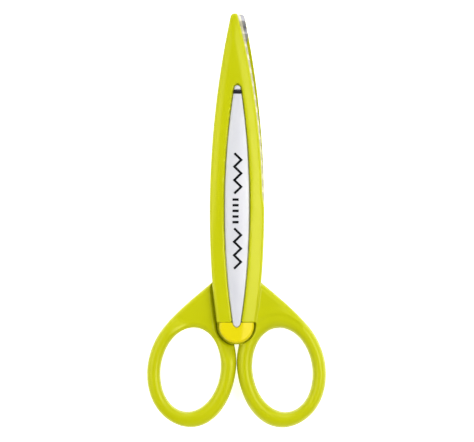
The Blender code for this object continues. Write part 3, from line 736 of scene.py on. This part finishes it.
def silver_paint():
    """Satin silver-grey: a very fine sparkle over a slightly mottled base."""
    light, dark = (0.63, 0.63, 0.655), (0.58, 0.585, 0.625)
    material, shader = new_material("silver_paint", light, 0.5, metallic=0.2, specular=0.2)
    tree = material.node_tree
    tint(tree, noise(tree, 150.0, 4.0, (1.0, 0.3, 1.0)), shader.inputs["Base Color"], light, dark)
    vary(tree, noise(tree, 900.0, 3.0), shader.inputs["Roughness"], 0.44, 0.56)
    bump(tree, noise(tree, 5200.0, 2.0), shader, 0.006)
    return material


def drawn_steel(name, colour, roughness, stretch, metallic=1.0):
    """Bare steel with a directional grain."""
    material, shader = new_material(name, colour, roughness[0], metallic=metallic)
    tree = material.node_tree
    brushed = noise(tree, 700.0, 5.0, stretch)
    vary(tree, brushed, shader.inputs["Roughness"], *roughness)
    tint(tree, noise(tree, 90.0, 3.0), shader.inputs["Base Color"], colour,
         tuple(0.93 * c for c in colour))
    bump(tree, brushed, shader, 0.01)
    return material


def printing_ink():
    """Black pad-print ink, a little thin in places."""
    material, shader = new_material("printing_ink", (0.008, 0.008, 0.011), 0.7, specular=0.08)
    tree = material.node_tree
    tint(tree, noise(tree, 1800.0, 3.0), shader.inputs["Base Color"], (0.003, 0.003, 0.004),
         (0.008, 0.008, 0.01))
    vary(tree, noise(tree, 1400.0, 2.0), shader.inputs["Roughness"], 0.6, 0.8)
    return material


MATERIALS = {
    "lime": moulded_plastic("lime_plastic", (0.48, 0.495, 0.0006), (0.455, 0.475, 0.0006), (0.28, 0.36),
                            sheen=(1.0, 0.92, 0.4)),
    "yellow": moulded_plastic("yellow_plastic", (0.70, 0.59, 0.001), (0.67, 0.57, 0.001), (0.28, 0.36),
                              sheen=(1.0, 0.85, 0.4)),
    "black": moulded_plastic("black_plastic", (0.005, 0.004, 0.008), (0.009, 0.008, 0.013), (0.35, 0.5),
                             specular=0.25),
    "silver": silver_paint(),
    "blade_steel": drawn_steel("blade_steel", (0.43, 0.425, 0.46), (0.42, 0.52), (0.2, 2.0, 1.0),
                               metallic=0.85),
    # Ground edge: a real polished bevel with its own grain, but its light cream colour is a painted
    # highlight standing in for the glint along the cutting edge
    "ground_steel_highlight": drawn_steel("ground_steel_highlight", (0.70, 0.66, 0.48), (0.42, 0.52), (2.0, 0.3, 1.0),
                                metallic=0.3),
    "pin_steel": drawn_steel("pin_steel", (0.6, 0.59, 0.58), (0.22, 0.34), (1.0, 1.0, 0.3)),
    "ink": printing_ink(),
}


def make_mouldings():
    moulded("shell", handle_field, SHELL_BOX, STEP, MATERIALS["lime"], "handle")
    moulded("insert", carrier_field, INSERT_BOX, FINE_STEP, MATERIALS["silver"],
            "blade_carrier")
    moulded("strap", clip_field, STRAP_BOX, STRAP_STEP, MATERIALS["black"],
            "nose_clip")
    moulded("catch", button_field, CATCH_BOX, FINE_STEP, MATERIALS["yellow"],
            "release_button", body="button")


def finish_metal_nodes():
    """The pivot stack and the blade rivets keep their CAD shapes."""
    for node in frame["nodes"].values():
        if not node.hide_render:
            node.data.materials.clear()
            node.data.materials.append(MATERIALS["pin_steel"])


# ---------------------------------------------------------------- stage

FLOOR_SIZE, FLOOR_DROP, FLOOR_GLOW = 4.0, 0.0005, 0.7    # metres, metres, emission strength
FRAME_WIDTH, CAMERA_DISTANCE = 0.19406, 1.0              # metres
CAMERA_Y, CAMERA_ROLL = -0.00017, 0.0032                 # metres, radians
LIGHTS = (  # name, place in metres, width in metres, power in watts
    ("key_right", (0.52, 0.03, 0.80), 0.5, 6.0),
    ("high_left", (-0.5, 0.03, 0.80), 0.4, 2.2),
    ("low_left", (-0.8, 0.05, 0.62), 0.7, 2.1),
    ("far", (0.05, 0.85, 0.6), 0.7, 4.5),
    ("near", (0.0, -0.8, 0.65), 0.7, 1.5),
)


def make_floor():
    bpy.ops.mesh.primitive_plane_add(size=FLOOR_SIZE, location=(0, 0, -FLOOR_DROP))
    floor = bpy.context.object
    floor.name = "floor"
    material, shader = new_material("floor", (0.93, 0.93, 0.93), 0.9, specular=0.0)
    shader.inputs["Emission Color"].default_value = (1, 1, 1, 1)
    shader.inputs["Emission Strength"].default_value = FLOOR_GLOW
    floor.data.materials.append(material)


def make_surroundings():
    """White walls that darken towards the ceiling."""
    world = bpy.data.worlds.new("studio")
    world.use_nodes = True
    tree = world.node_tree
    background = tree.nodes["Background"]
    background.inputs["Color"].default_value = (1.0, 1.0, 1.0, 1.0)
    direction = tree.nodes.new("ShaderNodeTexCoord")
    parts = tree.nodes.new("ShaderNodeSeparateXYZ")
    fade = tree.nodes.new("ShaderNodeMapRange")
    for socket, value in (("From Min", 0.1), ("From Max", 0.6), ("To Min", 1.0), ("To Max", 0.05)):
        fade.inputs[socket].default_value = value
    tree.links.new(direction.outputs["Generated"], parts.inputs["Vector"])
    tree.links.new(parts.outputs["Z"], fade.inputs["Value"])
    tree.links.new(fade.outputs["Result"], background.inputs["Strength"])
    return world


def make_lights():
    scene = bpy.context.scene
    scene.view_settings.view_transform = "Standard"
    scene.view_settings.look = "None"
    scene.world = make_surroundings()
    for name, spot, width, power in LIGHTS:
        light = bpy.data.lights.new(name, "AREA")
        light.energy = power
        light.size = width
        lamp = bpy.data.objects.new(name, light)
        scene.collection.objects.link(lamp)
        lamp.location = spot
        lamp.rotation_euler = Vector(spot).to_track_quat("Z", "Y").to_euler()


def make_camera():
    """Straight above the scissors, turned a little as they lie in the view."""
    camera = bpy.data.cameras.new("camera")
    camera.sensor_width = 36.0
    camera.lens = camera.sensor_width * CAMERA_DISTANCE / FRAME_WIDTH
    camera.clip_end = 10.0
    view = bpy.data.objects.new("camera", camera)
    bpy.context.scene.collection.objects.link(view)
    view.location = (0.0, CAMERA_Y, PIVOT.z + CAMERA_DISTANCE)
    view.rotation_euler = (0.0, 0.0, CAMERA_ROLL)
    bpy.context.scene.camera = view


make_mouldings()
make_blades()
make_springs()
make_prints()
finish_metal_nodes()
make_floor()
make_lights()
make_camera()
